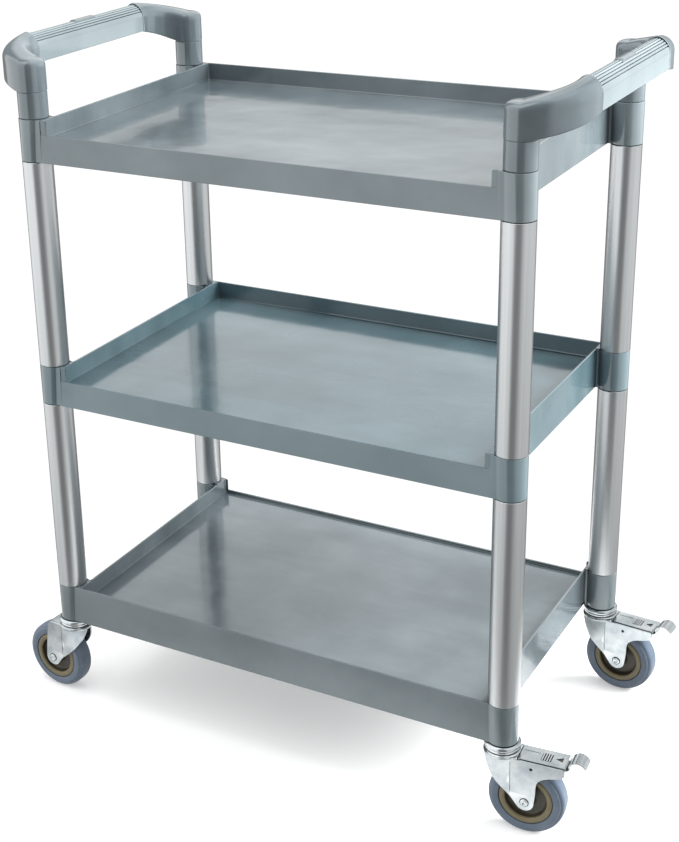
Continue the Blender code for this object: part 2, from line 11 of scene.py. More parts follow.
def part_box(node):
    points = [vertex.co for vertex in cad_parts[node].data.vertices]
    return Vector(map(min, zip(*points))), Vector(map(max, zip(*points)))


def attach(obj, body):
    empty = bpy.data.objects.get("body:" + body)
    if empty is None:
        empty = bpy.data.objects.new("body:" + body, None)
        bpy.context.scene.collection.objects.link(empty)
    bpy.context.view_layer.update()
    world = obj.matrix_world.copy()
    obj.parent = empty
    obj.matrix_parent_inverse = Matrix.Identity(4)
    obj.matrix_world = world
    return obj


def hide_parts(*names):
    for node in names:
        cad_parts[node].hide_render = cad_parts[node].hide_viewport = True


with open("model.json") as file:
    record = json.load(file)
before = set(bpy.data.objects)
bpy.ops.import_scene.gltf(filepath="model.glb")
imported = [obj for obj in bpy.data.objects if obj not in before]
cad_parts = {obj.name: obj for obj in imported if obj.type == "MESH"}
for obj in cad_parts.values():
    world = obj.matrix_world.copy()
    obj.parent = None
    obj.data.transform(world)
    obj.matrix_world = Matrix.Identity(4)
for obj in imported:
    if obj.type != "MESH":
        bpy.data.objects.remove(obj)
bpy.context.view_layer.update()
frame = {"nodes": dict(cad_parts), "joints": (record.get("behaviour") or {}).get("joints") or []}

# --- Dimensions, in metres ---

POST_RADIUS = 0.020
TRAY_HEIGHT = 0.0555
TRAY_WALL = 0.0028
WALL_OUT = 0.017  # long walls' outer faces beyond the post axes, at the bottom
LONG_DRAFT = 0.0018
END_DRAFT = 0.0012
FLOOR_TOP = 0.031
FLOOR_UNDERSIDE = 0.028
LIP_TOP = 0.0362
LIP_END = 0.0195  # the low lip stops this far inside the post axes
RIM_ROUND = 0.0009
FLOOR_ROUND = 0.0022
RIB_BOTTOM = 0.022
POST_WALL = 0.0015
JOINT_GAP = 0.0003  # between a tray's collar and the piece that stands on it or under it

GRIP_HALF_WIDTH = 0.0165
GRIP_HALF_LENGTH = 0.121
GRIP_BOTTOM = 0.055
GRIP_SPRING = 0.0745
GRIP_CROWN = 0.017
GRIP_POWER = 1.75
GRIP_STEPS = 240
GROOVE_PITCH, GROOVE_HALF_WIDTH, GROOVE_DEPTH = 0.0038, 0.0011, 0.0018
GROOVED_HALF_LENGTH = 5 * GROOVE_PITCH  # the grooves take up this much of the crown each side of its top
PAD_HALF_LENGTH, PAD_HALF_ANGLE = 0.024, math.radians(26)
PAD_RISE, PAD_ROOT, PAD_RAMP = 0.0019, 0.0003, 0.003
PAD_ROWS, PAD_COLUMNS = 24, 20
ELBOW_UNDERSIDE = 0.0328
ELBOW_TOP = 0.0755
ELBOW_LIP = 0.0026  # step up from the grip's crown to the elbow's end
KNUCKLE_HALF_WIDTH = 0.0197
KNUCKLE_SPRING = 0.064  # height at which the knuckle's side starts to round over
SOCKET_RADIUS = 0.0193
KNUCKLE_STEPS = 28
ARM_STEPS = 32
HANDLE_REACH = 0.050

LEG_OUTER = 0.018  # outer face of a leg from the middle of the fork
LEG_THICKNESS = 0.0025
LEG_TOP = -0.0144
FOLD_X = 0.0165  # where the leg's leading part folds inwards
COVER_TOP = -0.0130
LEVER_HALF_THICKNESS = 0.0008
LEVER_AXIS_LEVEL = -0.0187
LEVER_PIVOT = (0.042, -0.0235)
LEVER_RIDGES = (13, 15, 17, 19)  # points of the pedal's curve that stand up as ribs
FOLD_END = -0.0692
LEG_COLUMNS = 10
CREASE = ((0.0018, 0.0), (0.0013, 0.0011), (0.0006, 0.0012))  # (distance from the fold, depth)
PETALS = 5
YOKE_CROWN_RADIUS = 0.0238
YOKE_CROWN_HALF = 0.0176
PIN_HOLE_RADIUS = 0.0056

CORNERS = ("front_left", "front_right", "back_right", "back_left")
BRAKED = ("front_right", "back_right")


# --- Mesh helpers ---


def make_piece(name, bm, finish, body, replaces=(), sharp=35, bevel=0.0, matrix=None):
    """A visible piece from a bmesh that rides on a CAD body and stands for the CAD nodes it replaces."""
    bmesh.ops.remove_doubles(bm, verts=bm.verts, dist=1e-6)
    bmesh.ops.recalc_face_normals(bm, faces=bm.faces)
    if matrix is not None:
        bmesh.ops.transform(bm, matrix=matrix, verts=bm.verts)
        if matrix.determinant() < 0:
            bmesh.ops.reverse_faces(bm, faces=bm.faces)
    mesh = bpy.data.meshes.new(name)
    bm.to_mesh(mesh)
    bm.free()
    mesh.shade_smooth()
    mesh.set_sharp_from_angle(angle=math.radians(sharp))
    obj = bpy.data.objects.new(name, mesh)
    bpy.context.scene.collection.objects.link(obj)
    obj.data.materials.append(MATERIALS[finish])
    if bevel:
        modifier = obj.modifiers.new("Edges", "BEVEL")
        modifier.width = bevel
        modifier.segments = 3
        modifier.limit_method = "ANGLE"
        modifier.angle_limit = math.radians(sharp)
        modifier.harden_normals = False
    normals = obj.modifiers.new("Normals", "WEIGHTED_NORMAL")
    normals.keep_sharp = True
    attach(obj, body)
    if replaces:
        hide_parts(*replaces)
    return obj


def skin(bm, loops, close_start=True, close_end=True, flat_ring=True):
    """Faces between successive loops of points. Each loop is a closed ring unless flat_ring is False."""
    rows = [[bm.verts.new(point) for point in loop] for loop in loops]
    count = len(rows[0])
    for near, far in zip(rows, rows[1:]):
        for index in range(count if flat_ring else count - 1):
            after = (index + 1) % count
            bm.faces.new((near[index], near[after], far[after], far[index]))
    if close_start:
        bm.faces.new(rows[0][::-1])
    if close_end:
        bm.faces.new(rows[-1])
    return rows


def turned(bm, profile, steps=72, axis="Z", closed=False):
    """A profile of (radius, height) points turned about Z or Y. Points on the axis close it."""
    rings = []
    for radius, height in profile:
        ring = []
        for step in range(1 if radius == 0 else steps):
            angle = math.tau * step / steps
            x, y = radius * math.cos(angle), radius * math.sin(angle)
            ring.append(bm.verts.new((x, y, height) if axis == "Z" else (x, height, y)))
        rings.append(ring)
    followers = rings[1:] + rings[:1] if closed else rings[1:]
    for ring, following in zip(rings, followers):
        for step in range(steps):
            corners = []
            for loop, index in ((ring, step), (ring, step + 1), (following, step + 1), (following, step)):
                vertex = loop[index % len(loop)]
                if vertex not in corners:
                    corners.append(vertex)
            bm.faces.new(corners)


def turned_piece(name, profiles, finish, body, replaces, sharp, place, axis="Z", steps=72, closed=True):
    """A visible piece made of profiles turned about one axis."""
    bm = bmesh.new()
    for profile in profiles:
        turned(bm, profile, steps, axis, closed)
    make_piece(name, bm, finish, body, replaces, sharp, matrix=place)


def mm(*points):
    """Points that are written in millimetres, in metres."""
    return [tuple(value / 1000 for value in point) for point in points]


def mirrored(half):
    """The rest of a turned profile whose second half mirrors its first."""
    return [(radius, -across) for radius, across in half[::-1]]


def rounded(points, radius, steps=4, closed=True):
    """The 2-D polyline with its corners rounded off."""
    out = []
    count = len(points)
    for index, point in enumerate(points):
        corner = Vector(point)
        if not closed and index in (0, count - 1):
            out.append(corner)
            continue
        before = Vector(points[index - 1]) - corner
        after = Vector(points[(index + 1) % count]) - corner
        reach = min(radius, before.length * 0.49, after.length * 0.49)
        start, end = corner + before.normalized() * reach, corner + after.normalized() * reach
        for step in range(steps + 1):
            share = step / steps
            out.append(start * (1 - share) ** 2 + corner * 2 * share * (1 - share) + end * share**2)
    return out


def arc(centre, radius, start, end, steps):
    """Points along a 2-D arc, angles in degrees, both ends included."""
    points = []
    for step in range(steps + 1):
        angle = math.radians(start + (end - start) * step / steps)
        points.append((centre[0] + radius * math.cos(angle), centre[1] + radius * math.sin(angle)))
    return points


def plate(bm, outline, low, high, axis="Z"):
    """A flat plate: the 2-D outline between two heights along Z, or between two places along Y."""
    place = (lambda p, h: (p[0], p[1], h)) if axis == "Z" else (lambda p, h: (p[0], h, p[1]))
    skin(bm, [[place(p, low) for p in outline], [place(p, high) for p in outline]])


def loop_edges(bm, loop):
    """The edges round a closed loop of vertices, made where they are missing."""
    edges = []
    for first, second in zip(loop, loop[1:] + loop[:1]):
        edges.append(bm.edges.get((first, second)) or bm.edges.new((first, second)))
    return edges


def join_loops(bm, first, second):
    """A band of faces between two closed loops of vertices."""
    for index in range(len(first)):
        after = (index + 1) % len(first)
        bm.faces.new((first[index], first[after], second[after], second[index]))


def holed_plate(bm, outline, holes, low, high):
    """A flat plate between two heights, with holes through it."""
    levels = []
    for height in (low, high):
        loops = [[bm.verts.new((x, y, height)) for x, y in loop] for loop in (outline, *holes)]
        edges = [edge for loop in loops for edge in loop_edges(bm, loop)]
        bmesh.ops.triangle_fill(bm, use_beauty=True, use_dissolve=False, edges=edges)
        levels.append(loops)
    for lower, upper in zip(*levels):
        join_loops(bm, lower, upper)


def ease(share):
    """Starts and ends slowly between 0 and 1."""
    return share * share * (3 - 2 * share)


def mix(start, end, share):
    return start + (end - start) * share


# --- Materials ---


class Graph:
    """A material's node tree, with short ways to add and link nodes."""

    def __init__(self, name):
        self.material = bpy.data.materials.new(name)
        self.material.use_nodes = True
        self.nodes = self.material.node_tree.nodes
        self.links = self.material.node_tree.links
        self.shader = self.nodes["Principled BSDF"]

    def node(self, kind, **values):
        made = self.nodes.new("ShaderNode" + kind)
        for key, value in values.items():
            if key in made.inputs:
                made.inputs[key].default_value = value
            else:
                setattr(made, key, value)
        return made

    def link(self, source, output, target, socket):
        self.links.new(source.outputs[output], target.inputs[socket])

    def fix(self, socket, value):
        """A uniform value on the shader's own socket."""
        self.shader.inputs[socket].default_value = value

    def place(self, scale=(1, 1, 1)):
        """Object coordinates, stretched."""
        coordinates = self.node("TexCoord")
        mapping = self.node("Mapping")
        mapping.inputs["Scale"].default_value = scale
        self.link(coordinates, "Object", mapping, "Vector")
        return mapping

    def noise(self, scale, detail=4.0, roughness=0.55, stretch=(1, 1, 1)):
        made = self.node("TexNoise", Scale=scale, Detail=detail, Roughness=roughness)
        self.link(self.place(stretch), "Vector", made, "Vector")
        return made

    def ramp(self, source, output, stops):
        made = self.node("ValToRGB")
        elements = made.color_ramp.elements
        while len(elements) < len(stops):
            elements.new(0.5)
        for element, (position, colour) in zip(elements, stops):
            element.position = position
            element.color = (*colour, 1.0) if len(colour) == 3 else colour
        self.link(source, output, made, "Fac")
        return made

    def blend(self, mode, factor, first, second):
        """Mixes two colour outputs. factor is a number or a (node, output) pair."""
        made = self.node("Mix", data_type="RGBA", blend_type=mode)
        if isinstance(factor, tuple):
            self.links.new(factor[0].outputs[factor[1]], made.inputs["Factor"])
        else:
            made.inputs["Factor"].default_value = factor
        for socket, value in ((6, first), (7, second)):
            if isinstance(value, tuple) and isinstance(value[0], bpy.types.Node):
                self.links.new(value[0].outputs[value[1]], made.inputs[socket])
            else:
                made.inputs[socket].default_value = (*value, 1.0)
        return made

    def roughness(self, source, output, low, high):
        made = self.node("MapRange")
        made.inputs["To Min"].default_value = low
        made.inputs["To Max"].default_value = high
        self.link(source, output, made, "Value")
        self.link(made, "Result", self.shader, "Roughness")

    def bumps(self, *layers):
        """Bump layers of (node, output, strength, distance), the last one on top."""
        before = None
        for source, output, strength, distance in layers:
            made = self.node("Bump", Strength=strength, Distance=distance)
            self.link(source, output, made, "Height")
            if before is not None:
                self.link(before, "Normal", made, "Normal")
            before = made
        self.link(before, "Normal", self.shader, "Normal")


def edge_highlight_mask(graph, low, high):
    """A mask that is white on convex edges, where a lighter colour is painted as a highlight."""
    geometry = graph.node("NewGeometry")
    return graph.ramp(geometry, "Pointiness", [(low, (0, 0, 0)), (high, (1, 1, 1))])


def plastic(name, dark, light):
    """Moulded polypropylene: glossy, with flow marks from the mould and a slightly wavy skin."""
    graph = Graph(name)
    cloud = graph.noise(6.0, detail=5.0)
    tone = graph.ramp(cloud, "Fac", [(0.34, dark), (0.66, light)])
    flow = graph.noise(8.0, detail=6.0, stretch=(0.35, 2.2, 1.0))
    marks = graph.ramp(flow, "Fac", [(0.38, (0.88, 0.89, 0.90)), (0.64, (1.08, 1.08, 1.08))])
    tone = graph.blend("MULTIPLY", 1.0, (tone, "Color"), (marks, "Color"))
    # Convex edges and rims are painted a lighter grey: a painted highlight.
    edge_highlight = edge_highlight_mask(graph, 0.53, 0.60)
    tone = graph.blend("MIX", (edge_highlight, "Color"), (tone, 2), (0.26, 0.31, 0.32))
    graph.link(tone, 2, graph.shader, "Base Color")
    smear = graph.noise(12.0, detail=6.0, stretch=(1.0, 2.5, 1.0))
    graph.roughness(smear, "Fac", 0.09, 0.22)
    wave = graph.noise(13.0, detail=1.5)
    ripple = graph.noise(45.0, detail=2.0, stretch=(1.0, 0.6, 1.0))
    grain = graph.noise(1400.0, detail=2.0)
    graph.bumps((wave, "Fac", 0.30, 0.004), (ripple, "Fac", 0.10, 0.001), (grain, "Fac", 0.05, 0.0002))
    graph.fix("IOR", 1.85)
    graph.fix("Specular Tint", (0.84, 0.95, 1.0, 1.0))
    graph.fix("Coat Weight", 0.35)
    graph.fix("Coat Roughness", 0.06)
    return graph.material


def aluminium():
    """Satin anodised tube with fine drawing lines along its length."""
    graph = Graph("aluminium")
    lines = graph.noise(260.0, detail=4.0, stretch=(1.0, 1.0, 0.012))
    tone = graph.ramp(lines, "Fac", [(0.3, (0.50, 0.52, 0.525)), (0.7, (0.58, 0.60, 0.605))])
    cloud = graph.noise(7.0, detail=3.0, stretch=(1.0, 1.0, 0.3))
    shade = graph.ramp(cloud, "Fac", [(0.3, (0.94, 0.94, 0.95)), (0.7, (1.0, 1.0, 1.0))])
    tone = graph.blend("MULTIPLY", 1.0, (tone, "Color"), (shade, "Color"))
    graph.link(tone, 2, graph.shader, "Base Color")
    graph.fix("Metallic", 1.0)
    graph.roughness(cloud, "Fac", 0.27, 0.36)
    graph.bumps((lines, "Fac", 0.10, 0.0003))
    return graph.material


def zinc():
    """Bright zinc plate: blue-white, faintly mottled, with small dents and duller patches."""
    graph = Graph("zinc")
    mottle = graph.noise(55.0, detail=6.0)
    stops = [(0.3, (0.36, 0.40, 0.42)), (0.55, (0.48, 0.51, 0.52)), (0.8, (0.54, 0.55, 0.53))]
    tone = graph.ramp(mottle, "Fac", stops)
    stain = graph.noise(24.0, detail=4.0)
    shade = graph.ramp(stain, "Fac", [(0.38, (0.84, 0.86, 0.88)), (0.6, (1.06, 1.06, 1.06))])
    tone = graph.blend("MULTIPLY", 1.0, (tone, "Color"), (shade, "Color"))
    # Convex edges are painted a whiter zinc: a painted highlight along the sheet edges.
    edge_highlight = edge_highlight_mask(graph, 0.53, 0.60)
    tone = graph.blend("MIX", (edge_highlight, "Color"), (tone, 2), (0.78, 0.80, 0.81))
    graph.link(tone, 2, graph.shader, "Base Color")
    graph.fix("Metallic", 1.0)
    graph.roughness(mottle, "Fac", 0.09, 0.22)
    dent = graph.noise(90.0, detail=3.0)
    graph.bumps((dent, "Fac", 0.16, 0.0006))
    return graph.material


def painted_shade_black():
    """Nearly black steel colour: painted shade in gaps, pin holes and under the brake cover."""
    graph = Graph("painted_shade_black")
    cloud = graph.noise(150.0, detail=4.0)
    tone = graph.ramp(cloud, "Fac", [(0.3, (0.012, 0.013, 0.014)), (0.7, (0.035, 0.036, 0.038))])
    graph.link(tone, "Color", graph.shader, "Base Color")
    graph.roughness(cloud, "Fac", 0.4, 0.7)
    graph.bumps((cloud, "Fac", 0.10, 0.0002))
    return graph.material


def tyre_rubber():
    """Smooth grey-blue rubber, scuffed where it rolls."""
    graph = Graph("tyre_rubber")
    cloud = graph.noise(40.0, detail=5.0)
    tone = graph.ramp(cloud, "Fac", [(0.3, (0.080, 0.112, 0.156)), (0.7, (0.112, 0.148, 0.198))])
    scuff = graph.noise(160.0, detail=6.0)
    marks = graph.ramp(scuff, "Fac", [(0.58, (0, 0, 0)), (0.78, (0.6, 0.6, 0.6))])
    tone = graph.blend("MIX", (marks, "Color"), (tone, "Color"), (0.20, 0.22, 0.24))
    graph.link(tone, 2, graph.shader, "Base Color")
    graph.roughness(scuff, "Fac", 0.38, 0.60)
    grain = graph.noise(1500.0, detail=3.0)
    graph.bumps((cloud, "Fac", 0.06, 0.001), (grain, "Fac", 0.12, 0.0002))
    graph.fix("Sheen Weight", 0.08)
    return graph.material


def wheel_centre(name, dark, light):
    """Moulded plastic with a little dust: tan at the rim; the hollow's copy is much darker, as painted shade.
    """
    graph = Graph(name)
    cloud = graph.noise(60.0, detail=5.0)
    tone = graph.ramp(cloud, "Fac", [(0.3, dark), (0.7, light)])
    speck = graph.noise(600.0, detail=2.0)
    dust = graph.ramp(speck, "Fac", [(0.6, (0.9, 0.9, 0.9)), (0.8, (1.15, 1.15, 1.15))])
    tone = graph.blend("MULTIPLY", 1.0, (tone, "Color"), (dust, "Color"))
    graph.link(tone, 2, graph.shader, "Base Color")
    graph.roughness(cloud, "Fac", 0.35, 0.55)
    graph.bumps((speck, "Fac", 0.10, 0.0002))
    return graph.material


MATERIALS = {
    "grey_plastic": plastic("grey_plastic", (0.060, 0.078, 0.086), (0.114, 0.138, 0.149)),
    "blue_plastic": plastic("blue_plastic", (0.042, 0.080, 0.094), (0.086, 0.136, 0.156)),
    "aluminium": aluminium(),
    "zinc": zinc(),
    "painted_shade_black": painted_shade_black(),
    "tyre_rubber": tyre_rubber(),
    "wheel_centre": wheel_centre("wheel_centre", (0.130, 0.110, 0.055), (0.190, 0.158, 0.086)),
    # The hollow's copy is the same plastic much darker: painted shade in the deep web.
    "wheel_hollow_painted_shade": wheel_centre("wheel_hollow_painted_shade", (0.030, 0.026, 0.016), (0.060, 0.050, 0.030)),
}


# --- Trays ---


# Each quarter tray is drawn from the middle of a long wall, round the collar, to the middle of an end
# wall. Its stations are the same all the way up, so rings of them can be skinned. STEP is the stations,
# as (sideways, up), of the rounded step between the low lip and the full wall: three at its foot and
# three at its head.

LIP_STATIONS = 12
STEP_FOOT = ((-0.0008, 0.0), (-0.00025, 0.00025), (0.0, 0.0008))
STEP = STEP_FOOT + tuple((-sideways, -up) for sideways, up in STEP_FOOT[::-1])
COLLAR_STATIONS = 53
END_STATIONS = 10


def end_stations(wall_x, start_y):
    """Points along the end wall, from just past start_y to its middle."""
    return [(wall_x, start_y * (1 - share / END_STATIONS)) for share in range(1, END_STATIONS + 1)]


def outer_quarter(wall_y, wall_x, inset):
    """Outer plan: the long wall, a collar with a fillet each side of it, and the end wall."""
    radius = POST_RADIUS - inset
    fillet_a, fillet_b = 0.005 + inset, 0.003 + inset
    rise = wall_y + fillet_a - post_y
    run = math.sqrt((radius + fillet_a) ** 2 - rise**2)
    centre_a = (post_x - run, wall_y + fillet_a)
    reach = wall_x + fillet_b - post_x
    drop = math.sqrt((radius + fillet_b) ** 2 - reach**2)
    centre_b = (wall_x + fillet_b, post_y - drop)
    angle_a = math.degrees(math.atan2(rise, -run))
    angle_b = math.degrees(math.atan2(-drop, reach)) % 360 - 360
    step_x = post_x - LIP_END
    points = [(step_x * share / LIP_STATIONS, wall_y) for share in range(LIP_STATIONS)]
    points += [(step_x + sideways, wall_y) for sideways, _ in STEP]
    points += [(mix(step_x, centre_a[0], share / 3), wall_y) for share in (1, 2)]
    points += arc(centre_a, fillet_a, -90, angle_a - 180, 6)[:-1]
    points += arc((post_x, post_y), radius, angle_a, angle_b, 40)
    points += arc(centre_b, fillet_b, angle_b + 180, 180, 6)[1:]
    return points + end_stations(wall_x, centre_b[1])


def inner_quarter(wall_y, wall_x, inset):
    """Inner plan: a rectangle's corner, with a small radius."""
    corner = 0.0030 + inset
    edge = wall_x - corner - 0.0009
    low = post_y - 0.0155
    points = [(edge * share / LIP_STATIONS, wall_y) for share in range(LIP_STATIONS)]
    points += [(edge + sideways, wall_y) for sideways, _ in STEP]
    bend = arc((wall_x - corner, wall_y - corner), corner, 90, 0, 11)
    left = COLLAR_STATIONS + 2 - len(bend)
    points += bend
    points += [(wall_x, mix(wall_y - corner, low, share / left)) for share in range(1, left + 1)]
    return points + end_stations(wall_x, low)


def tray_ring(plan, inset, height, lip_side, from_top):
    """One ring round the tray. Its height is above the tray's foot, or below the wall's own top."""
    level = 1.0 if from_top else min(height / TRAY_HEIGHT, 1.0)
    wall = 0.0 if plan is outer_quarter else TRAY_WALL
    wall_y = post_y + WALL_OUT - LONG_DRAFT * level - wall - inset
    wall_x = post_x - POST_RADIUS - END_DRAFT * level - wall - inset
    quarter = plan(wall_y, wall_x, inset)
    full = TRAY_HEIGHT - 0.0004
    stepped = [LIP_TOP] * LIP_STATIONS
    stepped += [LIP_TOP + up for _, up in STEP[:3]] + [full + up for _, up in STEP[3:]]
    stepped += [full] * (len(quarter) - len(stepped))
    ring = []
    for side_x, side_y, backwards in ((1, 1, False), (1, -1, True), (-1, -1, False), (-1, 1, True)):
        tops = stepped if side_y == lip_side else [full] * len(quarter)
        points = []
        for (x, y), top in zip(quarter, tops):
            points.append((side_x * x, side_y * y, top - height if from_top else height))
        ring += points[::-1][:-1] if backwards else points[:-1]
    return ring


def make_tray(node, lip_side):
    """A tray: walls with a rounded rim, collars blended into them, and a floor with a hollow under it."""
    curve = 1 - math.sqrt(0.5)
    levels = [
        (inner_quarter, 0.0, FLOOR_UNDERSIDE, False),
        (inner_quarter, 0.0, 0.0006, False),
        (inner_quarter, -0.0004, 0.0003, False),
        (outer_quarter, 0.0006, 0.0003, False),
        (outer_quarter, 0.0002, 0.0005, False),
        (outer_quarter, 0.0, 0.0010, False),
        (outer_quarter, 0.0, RIM_ROUND, True),
        (outer_quarter, RIM_ROUND * curve, RIM_ROUND * curve, True),
        (outer_quarter, RIM_ROUND, 0.0, True),
        (inner_quarter, -RIM_ROUND, 0.0, True),
        (inner_quarter, -RIM_ROUND * curve, RIM_ROUND * curve, True),
        (inner_quarter, 0.0, RIM_ROUND, True),
        (inner_quarter, 0.0, FLOOR_TOP + FLOOR_ROUND, False),
        (inner_quarter, FLOOR_ROUND * curve, FLOOR_TOP + FLOOR_ROUND * curve, False),
        (inner_quarter, FLOOR_ROUND, FLOOR_TOP, False),
    ]
    bm = bmesh.new()
    skin(bm, [tray_ring(plan, inset, height, lip_side, from_top) for plan, inset, height, from_top in levels])
    add_ribs(bm)
    foot = Matrix.Translation((0, 0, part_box("lower_post_front_left")[0].z - TRAY_HEIGHT + tray_lift(node)))
    finish = "blue_plastic" if node == "middle_tray" else "grey_plastic"
    return make_piece(node + "_moulding", bm, finish, "frame", [node], sharp=40, matrix=foot)


def tray_lift(node):
    """How far the tray stands above the bottom one."""
    lift = {"bottom_tray": 0, "middle_tray": 1, "top_tray": 2}[node]
    low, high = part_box("lower_post_front_left")
    return lift * (high.z - low.z + TRAY_HEIGHT + 2 * JOINT_GAP)


def add_ribs(bm):
    """Stiffening ribs under the floor, on a four by three grid, with rounded lower edges."""
    half_x = post_x - POST_RADIUS - TRAY_WALL - 0.0005
    half_y = post_y + WALL_OUT - TRAY_WALL - 0.0005
    thickness, round_off = 0.0012, 0.0006
    root = FLOOR_UNDERSIDE + 0.001
    corners = [(-thickness, root), (-thickness, RIB_BOTTOM), (thickness, RIB_BOTTOM), (thickness, root)]
    section = rounded(corners, round_off, closed=False)
    for share in (-0.5, 0.0, 0.5):
        skin(bm, [[(share * half_x + u, end, z) for u, z in section] for end in (-half_y, half_y)])
    for share in (-1 / 3, 1 / 3):
        skin(bm, [[(end, share * half_y + u, z) for u, z in section] for end in (-half_x, half_x)])


# --- Posts ---


def make_post(node):
    """A thin tube with its cut ends softly broken."""
    low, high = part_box(node)
    inner, broken = POST_RADIUS - POST_WALL, 0.0004
    profile = [
        (inner, low.z),
        (POST_RADIUS - broken, low.z),
        (POST_RADIUS, low.z + broken),
        (POST_RADIUS, high.z - broken),
        (POST_RADIUS - broken, high.z),
        (inner, high.z),
    ]
    place = Matrix.Translation(((low.x + high.x) / 2, (low.y + high.y) / 2, 0))
    turned_piece(node + "_tube", [profile], "aluminium", "frame", [node], 35, place, steps=96)


# --- Handles ---


def power_curve(value, power):
    return math.copysign(abs(value) ** (2 / power), value)


def handle_section(half_width, bottom, spring, rise, power, fillet, crown=28):
    """(across, up) points up one side of an arm, from its bottom middle to the top of its crown."""
    right = [(0.0, bottom)]
    right += arc((half_width - fillet, bottom + fillet), fillet, -90, 0, 5)
    for step in range(crown // 2 + 1):
        angle = math.pi * step / crown
        across = half_width * power_curve(math.cos(angle), power)
        right.append((across, spring + rise * power_curve(math.sin(angle), power)))
    right[-1] = (0.0, spring + rise)
    return right


def full_section(right):
    """The right half of a section and its mirror image, as one ring."""
    return right + [(-across, up) for across, up in right[-2:0:-1]]


def elbow_shape(share):
    """Size of the arm's section from the post (0) to the grip (1)."""
    return {
        "half_width": mix(KNUCKLE_HALF_WIDTH, GRIP_HALF_WIDTH + 0.0004, ease(share)),
        "bottom": ELBOW_UNDERSIDE + (GRIP_BOTTOM - 0.0004 - ELBOW_UNDERSIDE) * share**1.2,
        "spring": mix(KNUCKLE_SPRING, GRIP_SPRING, share),
        "rise": mix(ELBOW_TOP - KNUCKLE_SPRING, GRIP_CROWN + ELBOW_LIP, share),
        "power": mix(3.0, GRIP_POWER, ease(share)),
        "fillet": mix(0.0022, 0.0010, share),
    }


def elbow_path(share):
    """Centre and heading of the arm in plan, about the post's axis."""
    corners = [
        Vector((0, 0)),
        Vector((0.44 * HANDLE_REACH, 0.12 * HANDLE_REACH)),
        Vector((HANDLE_REACH, 0.36 * HANDLE_REACH)),
        Vector((HANDLE_REACH, post_y - GRIP_HALF_LENGTH - JOINT_GAP)),
    ]
    rest = 1 - share
    weights = (rest**3, 3 * rest**2 * share, 3 * rest * share**2, share**3)
    place = sum((weight * corner for weight, corner in zip(weights, corners)), Vector((0, 0)))
    steps = [after - before for before, after in zip(corners, corners[1:])]
    heading = rest**2 * steps[0] + 2 * rest * share * steps[1] + share**2 * steps[2]
    return place, heading.normalized()


def make_elbow(corner):
    """A socket under a broad knuckle, whose arm sweeps out and up to a lip round the grip's end."""
    node = "handle_elbow_" + corner
    side_x, side_y = corner_sides(corner)
    bm = bmesh.new()
    start = handle_section(**elbow_shape(0))
    heading = elbow_path(0)[1]
    base = math.atan2(heading.y, heading.x) - math.pi / 2
    knuckle = []
    for step in range(KNUCKLE_STEPS + 1):
        angle = base - math.pi * step / KNUCKLE_STEPS
        knuckle.append([(across * math.cos(angle), across * math.sin(angle), up) for across, up in start])
    skin(bm, knuckle, False, False, flat_ring=False)
    sections = []
    for step in range(ARM_STEPS + 1):
        place, heading = elbow_path(step / ARM_STEPS)
        sideways = Vector((heading.y, -heading.x))
        back = -0.0012 * heading if step == ARM_STEPS else 0 * heading
        ring = full_section(handle_section(**elbow_shape(step / ARM_STEPS)))
        sections.append([(*(place + back + sideways * across), up) for across, up in ring])
    mouth = elbow_shape(1)
    lip = ((0.0001, 0.0003, 0.0004), (0.0004, 0.0009, 0.0), (0.0005, 0.0013, 0.0), (0.0012, 0.0016, 0.003))
    for inset, drop, back in lip:
        shape = dict(mouth, rise=mouth["rise"] - drop)
        shape.update(half_width=mouth["half_width"] - inset, bottom=mouth["bottom"] + inset)
        ring = full_section(handle_section(**shape))
        sections.append([(*(place - heading * back + sideways * across), up) for across, up in ring])
    skin(bm, sections, close_start=False)
    socket = [
        (0, 0.004),
        (0.0165, 0.004),
        (0.0175, 0.0004),
        (SOCKET_RADIUS - 0.0005, 0.0004),
        (SOCKET_RADIUS - 0.0001, 0.0008),
        (SOCKET_RADIUS, 0.002),
        (SOCKET_RADIUS, ELBOW_UNDERSIDE - 0.0006),
        (SOCKET_RADIUS - 0.0003, ELBOW_UNDERSIDE),
        (SOCKET_RADIUS - 0.0003, ELBOW_UNDERSIDE + 0.0006),
        (0, ELBOW_UNDERSIDE + 0.0006),
    ]
    turned(bm, socket)
    flip = Matrix.Diagonal((side_x, -side_y, 1, 1))
    place = Matrix.Translation((side_x * post_x, side_y * post_y, handle_foot)) @ flip
    make_piece(node + "_moulding", bm, "grey_plastic", "frame", [node], sharp=50, matrix=place)


def crown_point(lean, lift):
    """(across, up) on the grip's crown, lean radians from the top, lifted by a little."""
    across = (GRIP_HALF_WIDTH + lift) * power_curve(math.sin(lean), GRIP_POWER)
    return across, GRIP_SPRING + (GRIP_CROWN + lift) * power_curve(math.cos(lean), GRIP_POWER)


def grip_outline():
    """(across, up) points of the grip: a crowned bar with narrow grooves along its top."""
    corner = arc((GRIP_HALF_WIDTH - 0.001, GRIP_BOTTOM + 0.001), 0.001, -90, 0, 4)
    leans = [math.pi / 2 - math.pi * step / GRIP_STEPS for step in range(GRIP_STEPS + 1)]
    crown = [Vector(crown_point(lean, 0.0)) for lean in leans]
    lengths = [0.0]
    for before, after in zip(crown, crown[1:]):
        lengths.append(lengths[-1] + (after - before).length)
    centre = Vector((0, GRIP_SPRING))
    grooved = []
    for point, length in zip(crown, lengths):
        offset = length - lengths[-1] / 2
        near = abs(offset / GROOVE_PITCH - math.floor(offset / GROOVE_PITCH) - 0.5) * GROOVE_PITCH
        inside = 0.0 if abs(offset) > GROOVED_HALF_LENGTH else max(0.0, 1 - near / GROOVE_HALF_WIDTH)
        grooved.append(tuple(point - (point - centre).normalized() * GROOVE_DEPTH * ease(inside)))
    return [(0.0, GRIP_BOTTOM), *corner, *grooved, *[(-across, up) for across, up in corner[::-1]]]


